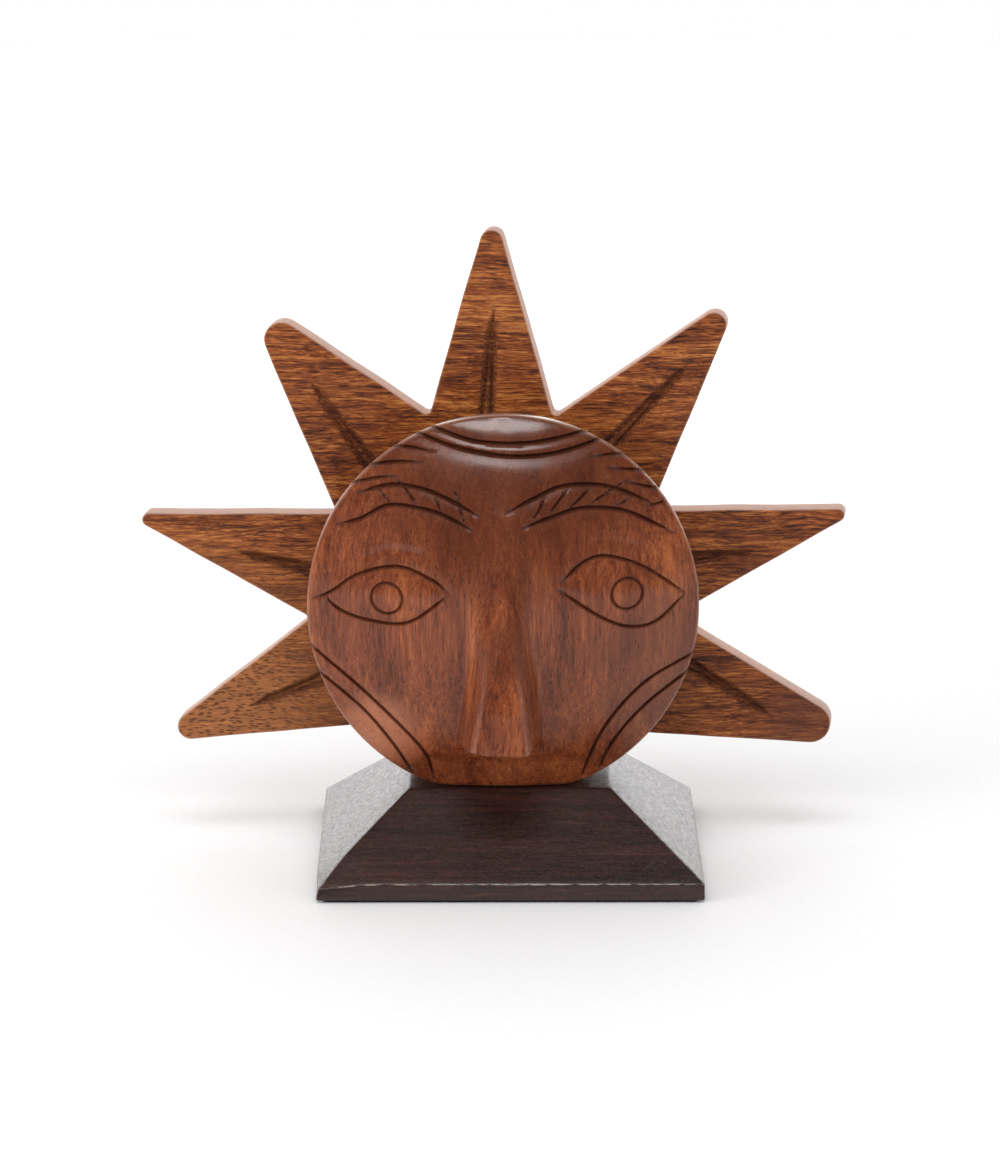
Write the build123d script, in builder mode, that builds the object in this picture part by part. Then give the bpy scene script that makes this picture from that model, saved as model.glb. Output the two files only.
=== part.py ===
from build123d import *
import math
import os

# A wooden stand for one pair of glasses. A carved face disc, whose nose carries the bridge of the
# glasses, stands in front of a sun-ray panel, and the folded temples pass between the two.
# Millimetres. Origin at the centre of the resting face, +X to the viewer's right, +Y to the back,
# +Z up.

# Base and felt
base_width = 68.0
base_depth = 64.0
base_top = 16.5
band_top = 3.5
slope_inset = 16.2
felt_thickness = 0.5
felt_margin = 1.0
felt_corner = 1.5

# Face disc
disc_x = -1.2
disc_z = 49.0
disc_radius = 34.5
disc_back = -12.0
rim_thickness = 2.2
dome_front = -25.0

# Nose: side profile as (y, height from the disc's centre), half-widths at its foot, side draft
nose_profile = [
    (-14.0, 24.0),
    (-21.8, 19.5),
    (-29.5, 1.0),
    (-35.0, -22.5),
    (-20.0, -24.5),
    (-14.0, -24.5),
]
nose_top_half = 3.6
nose_foot_half = 8.0
nose_draft = 8.0
nose_edge_radius = 0.7

# Carved lines, each an arc as (start, middle, end) from the disc's centre
line_width = 1.0
line_depth = 0.7
forehead_lines = [
    [(-12.1, 32.0), (3.0, 30.0), (14.3, 31.4)],
    [(-14.7, 30.7), (2.5, 27.8), (17.3, 29.8)],
]
# these are carved on the right of the face and mirrored to the left
paired_lines = [
    [(20.2, 27.8), (16.4, 28.1), (12.8, 27.7)],
    [(23.7, 25.1), (19.0, 26.2), (14.6, 26.5)],
    [(26.3, 22.3), (22.5, 23.7), (18.9, 24.3)],
    [(1.8, 18.2), (12.5, 22.8), (25.6, 20.1)],
    [(4.4, 15.8), (12.5, 19.0), (21.0, 18.5)],
    [(9.6, 5.6), (18.4, 10.2), (31.0, 3.2)],
    [(9.6, 5.6), (21.3, -1.5), (31.0, 3.2)],
    [(33.1, -7.7), (22.2, -15.8), (13.0, -31.4)],
    [(32.6, -11.3), (21.8, -20.5), (16.2, -29.8)],
]
iris_x = 21.0
iris_z = 3.8
iris_radius = 2.7

# Sun panel: a star drawn from its own centre
sun_x = -2.0
sun_z = 49.0
sun_front = 6.0
sun_thickness = 5.0
# each ray as (angle, radius of its sharp point, rounding of that point)
rays = [
    (11.5, 66.8, 1.2),
    (50.7, 68.7, 2.4),
    (91.0, 69.5, 2.1),
    (130.8, 69.6, 3.15),
    (169.4, 68.3, 1.2),
    (205.3, 70.2, 2.4),
    (336.3, 77.2, 3.6),
]
# the valley before each ray, except the last one's shoulder, as (angle, radius)
valleys = [(-11.9, 31.9), (25.4, 30.2), (71.8, 31.5), (112.3, 32.7), (156.7, 31.5), (191.2, 34.4)]
left_shoulder = (230.3, 34.1)
right_shoulder = (307.7, 35.1)
foot_half = 14.0
# each leaf-shaped gouge as (angle, radius of its outer point)
gouges = [
    (6.7, 47.0),
    (49.6, 51.4),
    (91.0, 48.9),
    (132.6, 48.8),
    (173.3, 47.0),
    (207.4, 50.1),
    (333.3, 54.6),
]
gouge_inner = 27.0
gouge_widest = 34.0
gouge_half = 1.2
gouge_depth = 0.8
gouge_draft = 45.0

# Spacer block between the disc and the panel
spacer_x = -1.5
spacer_width = 24.0
spacer_top = 57.0

# Pan-head wood screws
thread_radius = 1.75
core_radius = 1.25
plain_length = 7.0
thread_pitch = 1.4
head_radius = 3.2
head_height = 1.6
recess_length = 3.6
recess_width = 0.8
recess_depth = 0.9
screw_gap = 0.1
counterbore_radius = 3.5
base_screw_length = 25.0
base_screw_offset = 7.0
base_head_depth = 6.0
panel_screw_length = 16.0
panel_screw_heights = (28.0, 50.0)
plug_thickness = 1.4
plug_gap = 0.05

# Dowels between the spacer block and the disc
dowel_radius = 3.0
dowel_length = 14.0
dowel_in_disc = 6.0
dowel_end_gap = 0.2
dowel_glue_gap = 0.05
dowel_offset = 6.5
dowel_z = 44.0
dowel_chamfer = 0.4

# Derived places
dome_rise = disc_back - rim_thickness - dome_front
dome_sphere = (disc_radius**2 + dome_rise**2) / (2 * dome_rise)
spacer_y = (sun_front + disc_back) / 2
sun_back = sun_front + sun_thickness
base_seat_z = felt_thickness + base_head_depth
panel_counterbore = plug_thickness + head_height
panel_seat_y = sun_back - panel_counterbore
dowel_front_y = disc_back - dowel_in_disc


def facing_viewer(x, y, z):
    """A plane whose local x is +X, whose local y is +Z and whose normal points to the viewer."""
    return Plane(origin=(x, y, z), x_dir=(1, 0, 0), z_dir=(0, -1, 0))


def facing_back(x, y, z):
    """A plane whose normal points to the back."""
    return Plane(origin=(x, y, z), x_dir=(-1, 0, 0), z_dir=(0, 1, 0))


def facing_down(x, y, z):
    """A plane whose normal points down, with local x along +X."""
    return Plane(origin=(x, y, z), x_dir=(1, 0, 0), z_dir=(0, 0, -1))


def polar(angle, radius):
    """A sketch point from its direction in degrees and its distance from the local origin."""
    turn = math.radians(angle)
    return (radius * math.cos(turn), radius * math.sin(turn))


def make_dome(inset):
    """The disc with its domed front, the dome's surface set back by inset."""
    centre_y = dome_front + dome_sphere
    radius = dome_sphere - inset
    edge_angle = math.asin(disc_radius / radius)
    crown = (disc_x, centre_y - radius)
    shoulder = (
        disc_x + radius * math.sin(edge_angle / 2),
        centre_y - radius * math.cos(edge_angle / 2),
    )
    edge = (disc_x + disc_radius, centre_y - radius * math.cos(edge_angle))
    with BuildPart() as dome:
        with BuildSketch(Plane.XY.offset(disc_z)):
            with BuildLine():
                ThreePointArc(crown, shoulder, edge)
                Polyline(edge, (edge[0], disc_back), (disc_x, disc_back), crown)
            make_face()
        revolve(axis=Axis((disc_x, 0, disc_z), (0, 1, 0)))
    return dome.part


def make_nose():
    """A wedge with a sloping ridge and drafted sides, which starts inside the dome."""
    foot_y = nose_profile[0][0]
    reach = foot_y - min(y for y, height in nose_profile)
    top = nose_profile[0][1]
    bottom = nose_profile[-1][1]
    with BuildPart() as nose:
        with BuildSketch(Plane.YZ.offset(disc_x)):
            with BuildLine():
                Polyline(*[(y, disc_z + height) for y, height in nose_profile], close=True)
            make_face()
        extrude(amount=nose_foot_half, both=True)
        with BuildSketch(facing_viewer(disc_x, foot_y, disc_z)):
            with BuildLine():
                Polyline(
                    (nose_top_half, top),
                    (-nose_top_half, top),
                    (-nose_foot_half, bottom),
                    (nose_foot_half, bottom),
                    close=True,
                )
            make_face()
        extrude(amount=reach, taper=nose_draft, mode=Mode.INTERSECT)
        front_edges = nose.edges().filter_by(lambda edge: edge.center().Y < dome_front)
        fillet(front_edges, radius=nose_edge_radius)
    return nose.part


def make_lines():
    """Everything that the carving tool takes from the dome, down to line_depth."""
    mirrored_lines = [[(-x, z) for x, z in line] for line in paired_lines]
    with BuildPart() as lines:
        with BuildSketch(facing_viewer(disc_x, disc_back, disc_z)):
            for start, middle, end in forehead_lines + paired_lines + mirrored_lines:
                with BuildLine():
                    ThreePointArc(start, middle, end)
                trace(line_width=line_width)
            with Locations((iris_x, iris_z), (-iris_x, iris_z)):
                Circle(iris_radius + line_width / 2)
                Circle(iris_radius - line_width / 2, mode=Mode.SUBTRACT)
        extrude(amount=disc_back - dome_front)
        add(make_dome(line_depth), mode=Mode.SUBTRACT)
    return lines.part


def make_screw(length):
    """A wood screw along -Z, the underside of its pan head at z 0."""
    turns = int((length - plain_length) / thread_pitch) - 1
    outline = [(0, -length)]
    for turn in range(turns, 0, -1):
        root_z = -plain_length - turn * thread_pitch
        outline.append((core_radius, root_z))
        outline.append((thread_radius, root_z + thread_pitch / 2))
    outline.append((core_radius, -plain_length))
    outline.append((core_radius, 0))
    outline.append((head_radius, 0))
    outline.append((head_radius, head_height / 2))
    outline.append((head_radius - head_height / 2, head_height))
    outline.append((0, head_height))
    with BuildPart() as screw:
        with BuildSketch(Plane.XZ):
            with BuildLine():
                Polyline(*outline, close=True)
            make_face()
        revolve(axis=Axis.Z)
        with Locations((0, 0, head_height - recess_depth / 2)):
            Box(recess_length, recess_width, recess_depth, mode=Mode.SUBTRACT)
            Box(recess_width, recess_length, recess_depth, mode=Mode.SUBTRACT)
    return screw.part


# Base block: an upright band, then four slopes up to the platform
with BuildPart() as base_block:
    with BuildSketch(Plane.XY.offset(felt_thickness)):
        Rectangle(base_width, base_depth)
    extrude(amount=band_top - felt_thickness)
    slope_height = base_top - band_top
    with BuildSketch(Plane.XY.offset(band_top)):
        Rectangle(base_width, base_depth)
    extrude(amount=slope_height, taper=math.degrees(math.atan(slope_inset / slope_height)))
    with Locations(facing_down(spacer_x, spacer_y, felt_thickness)):
        with GridLocations(2 * base_screw_offset, 1, 2, 1):
            CounterBoreHole(
                radius=thread_radius + screw_gap,
                counter_bore_radius=counterbore_radius,
                counter_bore_depth=base_head_depth,
                depth=base_top,
            )

# Felt under the base, over the screw heads
with BuildPart() as base_felt:
    with BuildSketch():
        RectangleRounded(base_width - 2 * felt_margin, base_depth - 2 * felt_margin, felt_corner)
    extrude(amount=felt_thickness)

# Spacer block, with a pilot hole for each screw and a socket for each dowel
with BuildPart() as spacer_block:
    with BuildSketch(Plane.XY.offset(base_top)):
        with Locations((spacer_x, spacer_y)):
            Rectangle(spacer_width, sun_front - disc_back)
    extrude(amount=spacer_top - base_top)
    with Locations(facing_down(spacer_x, spacer_y, base_top)):
        with GridLocations(2 * base_screw_offset, 1, 2, 1):
            Hole(
                radius=thread_radius + screw_gap,
                depth=base_seat_z + base_screw_length + screw_gap - base_top,
            )
    for height in panel_screw_heights:
        with Locations(facing_back(spacer_x, sun_front, height)):
            Hole(
                radius=thread_radius + screw_gap,
                depth=panel_screw_length + screw_gap - (panel_seat_y - sun_front),
            )
    with Locations(facing_viewer(spacer_x, disc_back, dowel_z)):
        with GridLocations(2 * dowel_offset, 1, 2, 1):
            Hole(
                radius=dowel_radius + dowel_glue_gap,
                depth=dowel_length - dowel_in_disc + dowel_end_gap,
            )

# Face disc: dome, nose and carved lines, cut flat where it stands on the platform
with BuildPart() as face_disc:
    add(make_dome(0))
    add(make_nose())
    add(make_lines(), mode=Mode.SUBTRACT)
    with Locations(facing_back(spacer_x, disc_back, dowel_z)):
        with GridLocations(2 * dowel_offset, 1, 2, 1):
            Hole(radius=dowel_radius + dowel_glue_gap, depth=dowel_in_disc + dowel_end_gap)
    split(bisect_by=Plane.XY.offset(base_top), keep=Keep.TOP)

# Sun panel: the rays and the foot in one board, a leaf-shaped gouge on each ray
with BuildPart() as sun_panel:
    with BuildSketch(facing_viewer(sun_x, sun_back, sun_z)) as star:
        with BuildLine():
            outline = []
            for valley, ray in zip(valleys, rays):
                outline.append(polar(*valley))
                outline.append(polar(ray[0], ray[1]))
            outline.append(polar(*left_shoulder))
            outline.append((-foot_half, base_top - sun_z))
            outline.append((foot_half, base_top - sun_z))
            outline.append(polar(*right_shoulder))
            outline.append(polar(rays[-1][0], rays[-1][1]))
            Polyline(*outline, close=True)
        make_face()
        for angle, radius, rounding in rays:
            point = polar(angle, radius)
            tip = star.vertices().sort_by_distance((*point, 0))[0]
            fillet(tip, radius=rounding)
    extrude(amount=sun_thickness)
    with BuildSketch(facing_viewer(sun_x, sun_front, sun_z)):
        for angle, outer in gouges:
            half_angle = math.degrees(math.atan(gouge_half / gouge_widest))
            with BuildLine():
                Polyline(
                    polar(angle, gouge_inner),
                    polar(angle - half_angle, gouge_widest),
                    polar(angle, outer),
                    polar(angle + half_angle, gouge_widest),
                    close=True,
                )
            make_face()
    extrude(amount=-gouge_depth, taper=gouge_draft, mode=Mode.SUBTRACT)
    for height in panel_screw_heights:
        with Locations(facing_back(spacer_x, sun_back, height)):
            CounterBoreHole(
                radius=thread_radius + screw_gap,
                counter_bore_radius=counterbore_radius,
                counter_bore_depth=panel_counterbore,
                depth=sun_thickness,
            )

# Screws up through the base
with BuildPart() as base_screws:
    with Locations(facing_down(spacer_x, spacer_y, base_seat_z)):
        with GridLocations(2 * base_screw_offset, 1, 2, 1):
            add(make_screw(base_screw_length))

# Screws from behind through the sun panel
with BuildPart() as panel_screws:
    for height in panel_screw_heights:
        with Locations(facing_back(spacer_x, panel_seat_y, height)):
            add(make_screw(panel_screw_length))

# Wooden plugs flush with the back of the panel
with BuildPart() as screw_plugs:
    for height in panel_screw_heights:
        with BuildSketch(facing_back(spacer_x, sun_back - plug_thickness, height)):
            Circle(counterbore_radius - plug_gap)
        extrude(amount=plug_thickness)

# Dowels with chamfered ends
with BuildPart() as face_dowels:
    with BuildSketch(facing_back(spacer_x, dowel_front_y, dowel_z)):
        with GridLocations(2 * dowel_offset, 1, 2, 1):
            Circle(dowel_radius)
    extrude(amount=dowel_length)
    chamfer(face_dowels.edges().filter_by(GeomType.CIRCLE), length=dowel_chamfer)

pieces = {
    "base_block": base_block,
    "base_felt": base_felt,
    "spacer_block": spacer_block,
    "face_disc": face_disc,
    "sun_panel": sun_panel,
    "base_screws": base_screws,
    "panel_screws": panel_screws,
    "screw_plugs": screw_plugs,
    "face_dowels": face_dowels,
}
os.makedirs("parts", exist_ok=True)
for name, piece in pieces.items():
    piece.part.label = name
    export_step(piece.part, f"parts/{name}.step")
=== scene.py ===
import math

import bmesh
import bpy
import numpy as np
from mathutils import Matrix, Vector, noise
from mathutils.geometry import delaunay_2d_cdt


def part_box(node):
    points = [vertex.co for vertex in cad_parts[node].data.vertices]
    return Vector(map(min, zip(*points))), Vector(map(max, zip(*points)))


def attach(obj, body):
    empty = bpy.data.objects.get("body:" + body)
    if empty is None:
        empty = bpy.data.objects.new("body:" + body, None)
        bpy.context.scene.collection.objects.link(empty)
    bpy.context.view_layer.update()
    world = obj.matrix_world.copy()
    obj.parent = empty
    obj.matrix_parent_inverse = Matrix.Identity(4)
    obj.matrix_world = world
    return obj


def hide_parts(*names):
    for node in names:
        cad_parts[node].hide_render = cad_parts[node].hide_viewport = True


# The looks of a carved wooden stand for glasses: a sun face, a ray panel behind it and a base.
# Shapes are worked out in millimetres and written to the meshes in metres.
# The face and the panel are drawn as (x, height) seen from the front, and their relief is a depth y.

MM = 0.001
SEED_SHIFT = 7.3
UP = (0, 0, 1)
BACK = (0, 1, 0)

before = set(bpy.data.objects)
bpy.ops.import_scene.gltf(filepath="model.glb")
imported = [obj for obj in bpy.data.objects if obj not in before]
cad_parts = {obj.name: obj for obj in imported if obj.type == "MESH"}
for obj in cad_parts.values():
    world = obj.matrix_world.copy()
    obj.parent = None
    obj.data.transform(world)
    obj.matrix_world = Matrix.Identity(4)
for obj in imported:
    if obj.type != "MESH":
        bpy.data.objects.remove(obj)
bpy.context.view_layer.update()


def node_box(name):
    """Lowest and highest corner of a CAD node, in millimetres."""
    low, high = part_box(name)
    return np.array(low) / MM, np.array(high) / MM


# Face disc. Heights and x of its features are from the disc's centre.
disc_low, disc_high = node_box("face_disc")
disc_radius = (disc_high[0] - disc_low[0]) / 2
disc_x = (disc_high[0] + disc_low[0]) / 2
disc_z = disc_high[2] - disc_radius
disc_back = disc_high[1]
disc_cut = disc_low[2] - disc_z
dome_front = -25.0
rim_thickness = 2.2
dome_edge = disc_back - rim_thickness
dome_rise = dome_edge - dome_front
dome_sphere = (disc_radius**2 + dome_rise**2) / (2 * dome_rise)
disc_edge_round = 0.5
# each dowel hole as (x, height, radius, depth y of its floor)
dowel_holes = [(x, -5.0, 3.05, -18.2) for x in (-6.8, 6.2)]

# Sun panel
sun_low, sun_high = node_box("sun_panel")
sun_front = sun_low[1]
sun_back = sun_high[1]
sun_foot = sun_low[2]
sun_x = -2.0
sun_z = 49.0
sun_edge_round = 0.3
# each ray as (angle, radius of its sharp point, rounding of that point)
rays = [
    (11.5, 66.8, 1.2),
    (50.7, 68.7, 2.4),
    (91.0, 69.5, 2.1),
    (130.8, 69.6, 3.15),
    (169.4, 68.3, 1.2),
    (205.3, 70.2, 2.4),
    (336.3, 77.2, 3.6),
]
# the valley before each ray, except the last one's shoulder, as (angle, radius)
valleys = [(-11.9, 31.9), (25.4, 30.2), (71.8, 31.5), (112.3, 32.7), (156.7, 31.5), (191.2, 34.4)]
left_shoulder = (230.3, 34.1)
right_shoulder = (307.7, 35.1)
foot_half = 14.0
foot_round = 0.4
valley_round = 0.8
# each leaf-shaped gouge as (angle, radius of its outer point, how far its inner end leans aside)
gouges = [
    (6.7, 47.0, 0.0),
    (49.6, 51.4, 1.3),
    (91.0, 48.9, 2.0),
    (132.6, 48.8, 3.0),
    (173.3, 47.0, 3.0),
    (207.4, 50.1, 2.6),
    (333.3, 54.6, 2.8),
]
gouge_inner = 25.0
gouge_half = 0.85
gouge_parting = 1.1
gouge_depth = 0.75
gouge_point_length = 3.0
# the saw stood a little askew, so the back outline lies to the right
sun_saw_lean = (0.5, 0.0)
sun_unevenness = 0.05
outline_sway = 0.12
# (x, height) from the panel's centre
panel_screw_places = [(0.5, -21.0), (0.5, 1.0)]
counterbore_radius = 3.5
counterbore_floor = 8.0
screw_hole_radius = 1.85

# Base block
base_low, base_high = node_box("base_block")
band_top = 3.5
slope_inset = 16.2
base_ease = 0.35
base_unevenness = 0.02
# (x, y) of the screws from below
base_holes = [(-8.5, -3.0), (5.5, -3.0)]
base_counterbore_top = 6.5
# pale wear at the band's upper edge: how high it reaches, and the depths of rounding at which
# it starts and over which it grows
worn_height = 1.0
worn_from = 0.04
worn_fade = 0.06
# the front left corner of the band was sanded rounder than the others
sanded_corner = (-34.0, -32.0, 3.5)
sanded_way = (0.35, 0.35, -0.87)
sanded_reach = 6.0
sanded_depth = 1.0

# Spacer block: how deep the screws and the dowels go in
spacer_ease = 0.3
base_screw_depth = 15.1
panel_screw_depth = 14.1
dowel_depth = 8.2

# Cuts: the width of their soft shoulders, how far their darkening (stain and painted shade)
# reaches, in half-widths, and the half-width over which they get mesh points on their slopes
shoulder_width = 1.1
stain_and_shade_reach = 1.25
wide_cut = 0.6

# Carved lines of the face, from the disc's centre. Each is drawn through its points.
lines_to_rim = [
    [(-12.3, 32.3), (-4.5, 30.2), (5.0, 30.0), (14.9, 31.6)],
    [(-15.2, 31.3), (-7.0, 28.9), (2.0, 27.8), (10.0, 28.4), (17.8, 30.4)],
]
# these start at the rim and taper off inside the face
lines_from_rim = [
    [(-20.0, 28.9), (-16.0, 28.9), (-12.0, 28.4)],
    [(-24.0, 25.4), (-19.0, 26.4), (-14.0, 26.7)],
    [(-26.4, 22.4), (-22.0, 23.6), (-18.9, 24.1)],
    [(21.8, 27.4), (18.5, 27.6), (15.3, 27.4)],
    [(25.0, 24.4), (21.5, 25.0), (18.3, 25.4)],
    [(26.6, 21.4), (24.0, 22.2), (21.3, 23.1)],
    [(-34.0, -6.7), (-25.0, -13.7), (-17.5, -21.0), (-13.6, -26.0), (-12.1, -31.8)],
    [(-33.2, -11.0), (-25.0, -17.4), (-19.6, -23.9), (-15.6, -30.6)],
    [(33.8, -8.1), (25.0, -12.5), (18.6, -19.4), (15.0, -27.0), (13.8, -31.8)],
    [(33.0, -11.2), (25.0, -17.0), (19.5, -23.5), (16.6, -30.0)],
]
brow_lines = [
    [(-25.5, 20.8), (-19.6, 22.6), (-14.2, 22.3), (-9.8, 20.8), (-4.1, 18.0)],
    [(-29.0, 15.3), (-24.9, 16.6), (-20.1, 19.2), (-14.9, 19.1), (-10.6, 18.1), (-5.2, 15.6)],
    [(0.4, 18.6), (5.5, 21.0), (10.0, 22.8), (15.5, 22.9), (20.1, 21.8), (26.0, 19.1)],
    [(3.2, 16.0), (8.5, 17.8), (13.8, 19.1), (20.8, 18.3), (26.8, 15.4), (29.5, 13.8)],
]
brow_hatches = [
    [(-21.8, 21.8), (-19.4, 19.5)],
    [(-18.7, 23.7), (-16.9, 22.0), (-15.0, 19.6)],
    [(-12.1, 21.4), (-10.5, 18.2)],
    [(-8.4, 22.3), (-7.7, 19.9), (-6.7, 16.6)],
    [(7.5, 21.7), (6.3, 19.2), (4.8, 17.0)],
    [(11.3, 22.5), (7.8, 18.2)],
    [(15.3, 22.5), (10.9, 18.5)],
    [(21.1, 23.0), (15.2, 19.8)],
    [(22.9, 20.5), (19.5, 19.0)],
    [(28.9, 19.2), (24.8, 18.5)],
]
lid_lines = [
    [(-33.0, 2.0), (-30.0, 3.6), (-25.5, 7.0), (-18.5, 9.0), (-12.5, 7.0), (-9.6, 4.8)],
    [(-31.8, 3.0), (-28.5, 0.4), (-23.0, -0.9), (-16.5, -0.7), (-9.8, 4.2)],
    [(10.0, 6.6), (14.0, 10.0), (18.0, 10.8), (24.6, 8.4), (31.6, 3.2)],
    [(9.6, 5.3), (17.7, -0.2), (22.5, -2.0), (27.0, -1.3), (31.8, 2.8)],
]
iris_centres = [(-20.3, 3.4), (21.6, 4.1)]
iris_radius = 2.7
# soft folds above the eyes and the mouth: (points, half-width, depth)
soft_folds = [
    ([(-25.0, 9.6), (-19.7, 11.6), (-12.5, 11.0)], 1.3, 0.3),
    ([(12.5, 12.0), (18.0, 13.4), (25.5, 11.2)], 1.3, 0.22),
    ([(-6.2, -27.2), (0.0, -28.0), (7.0, -27.0)], 0.35, 0.28),
    ([(-3.2, -28.9), (1.0, -29.2), (5.2, -28.5)], 0.3, 0.2),
]
# each eyeball as (centre x, centre height, half-length, half-height)
eyeballs = [(-20.8, 3.9, 10.6, 5.2), (20.8, 4.3, 10.6, 6.0)]
eyeball_rise = 0.75

# Nose: its front line and the creases at its sides, at heights from the disc's centre
nose_heights = (-26.0, -24.6, -22.6, -14.0, 1.0, 19.5, 24.0)
nose_fronts = (-10.0, -19.0, -34.6, -33.6, -29.5, -21.8, -14.0)
nose_bottom = -22.6
crease_heights = (-24.5, -18.0, -10.0, 0.0, 10.0, 16.0, 24.0)
left_creases = (8.6, 7.5, 6.7, 6.0, 4.8, 3.9, 2.4)
right_creases = (6.9, 6.7, 6.0, 4.8, 4.2, 3.6, 2.4)
nose_foot_slope = 8.0
nose_facet_top = 0.8
left_facet = 5.5
right_facet = 4.6
# the nose's edges are this soft below and above these heights
nose_softness_heights = (2.0, 16.0)
nose_softness = (0.85, 1.6)
# dents in the nose's lower edge, each (x, width, height)
nose_dents = [(-4.8, 1.6, 0.5), (5.9, 0.9, 1.2)]
# the width of the hollow beside the nose, and the face's unevenness
nose_blend = 0.35
disc_unevenness = 0.06
# a step under the nose, where the mouth is
chin_step_z = -25.6
chin_step_half = 14.5
chin_step_depth = 0.7
# the lengths of its fall and of its fading at the sides
chin_step_fall = 0.8
chin_step_fade = 1.5

# Mesh points on the nose, the eyes and everywhere, as (low corner, high corner, step, gap)
face_grids = [
    ((-8.5, -25.5), (8.5, 24.5), 0.4, 0.25),
    ((-33, -3), (33, 13), 0.6, 0.4),
    ((-disc_radius, disc_cut), (disc_radius, disc_radius), 0.85, 0.5),
]

# Wood. Sizes are along and across the grain, in millimetres, and limits are of a noise.
fibre_size = (2.5, 0.13)
mask_limits = (0.42, 0.56)
vein_half_width = 0.045
vein_mask_size = (12.0, 2.5)
pore_limits = (0.13, 0.25)
pore_mask_size = (6.0, 1.5)
fleck_size = (1.5, 0.42)
fleck_limits = (0.26, 0.5)
worn_size = (2.4, 0.8)
worn_limits = (0.34, 0.6)
tooth_size = (1.2, 0.8)
dull_size = (0.9, 0.6)
dull_limits = (0.4, 0.65)
# what these add to the roughness: a tooth's dull spots, sawn sides, cuts and pores
dull_roughness = 0.16
sawn_roughness = 0.25
cut_roughness = 0.4
pore_roughness = 0.2
coat_roughness = 0.17
fibre_bump = 0.018
pore_bump = 0.05

# Studio, in metres and degrees
camera_lens = 161.28
camera_target = (-0.0017, 0.0, 0.05156)
camera_distance = 0.9196
camera_elevation = 12.95
camera_azimuth = -0.2
object_middle = (0, 0, 0.05)
# each light as (name, place, target, size, power, spread, whether reflections show it)
lights = [
    ("left", (-1.15, -0.85, 0.38), object_middle, (0.9, 0.7), 9.6, 180, False),
    ("right", (1.15, -0.85, 0.38), object_middle, (0.9, 0.7), 2.3, 180, False),
    ("top", (-0.06, -0.70, 1.04), object_middle, (0.75, 0.33), 4.5, 180, True),
    ("back", (0.0, 1.15, 1.2), (0, 1.15, 0), (2.4, 0.9), 20, 60, True),
]
# how bright the surroundings are in reflections in front and behind, and for soft light
world_front = 0.10
world_back = 3.1
world_soft = 0.65
# between these values of a ray's y, reflections go from one to the other
world_change = (0.1, 0.9)
floor_radius = 1.2


# ---- lines in the (x, height) plane


def lengths_along(line):
    """How far along the line each of its points is."""
    return np.concatenate([[0], np.cumsum(np.linalg.norm(np.diff(line, axis=0), axis=1))])


def resample(points, step, closed=False):
    """The polyline's points spaced evenly, about step apart."""
    points = np.asarray(points, float)
    if closed:
        points = np.vstack([points, points[:1]])
    travelled = lengths_along(points)
    count = max(2, int(round(travelled[-1] / step)) + 1)
    wanted = np.linspace(0, travelled[-1], count)
    if closed:
        wanted = wanted[:-1]
    return np.column_stack([np.interp(wanted, travelled, points[:, i]) for i in range(2)])


def smooth_line(points, step=0.35):
    """A smooth curve through the points, its samples about step apart."""
    points = np.asarray(points, float)
    padded = np.vstack([2 * points[0] - points[1], points, 2 * points[-1] - points[-2]])
    t = np.linspace(0, 1, 12, endpoint=False)[:, None]
    spans = []
    for a, b, c, d in zip(padded, padded[1:], padded[2:], padded[3:]):
        curve = 2 * b + (c - a) * t + (2 * a - 5 * b + 4 * c - d) * t**2
        spans.append((curve + (3 * b - a - 3 * c + d) * t**3) / 2)
    spans.append(points[-1:])
    return resample(np.vstack(spans), step)


def left_of(travel):
    """Unit vectors to the left of each direction of travel."""
    travel = travel / np.linalg.norm(travel, axis=1)[:, None]
    return np.column_stack([-travel[:, 1], travel[:, 0]])


def ring(centre, radius, count=28):
    """Points of a circle."""
    return centre + radius * directions(np.linspace(0, 2 * math.pi, count, endpoint=False))


def directions(turns):
    """Unit vectors at angles in radians."""
    return np.column_stack([np.cos(turns), np.sin(turns)])


def polar(angle, radius):
    """A point from its direction in degrees and its distance."""
    return radius * directions([math.radians(angle)])[0]


def wander(x, z, size, channel=0):
    """Smooth random values from -1 to 1 that change over about size millimetres."""
    flat = zip(np.ravel(x) / size, np.ravel(z) / size)
    values = [noise.noise(Vector((u, v, channel * SEED_SHIFT))) for u, v in flat]
    return np.reshape(values, np.shape(x))


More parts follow.
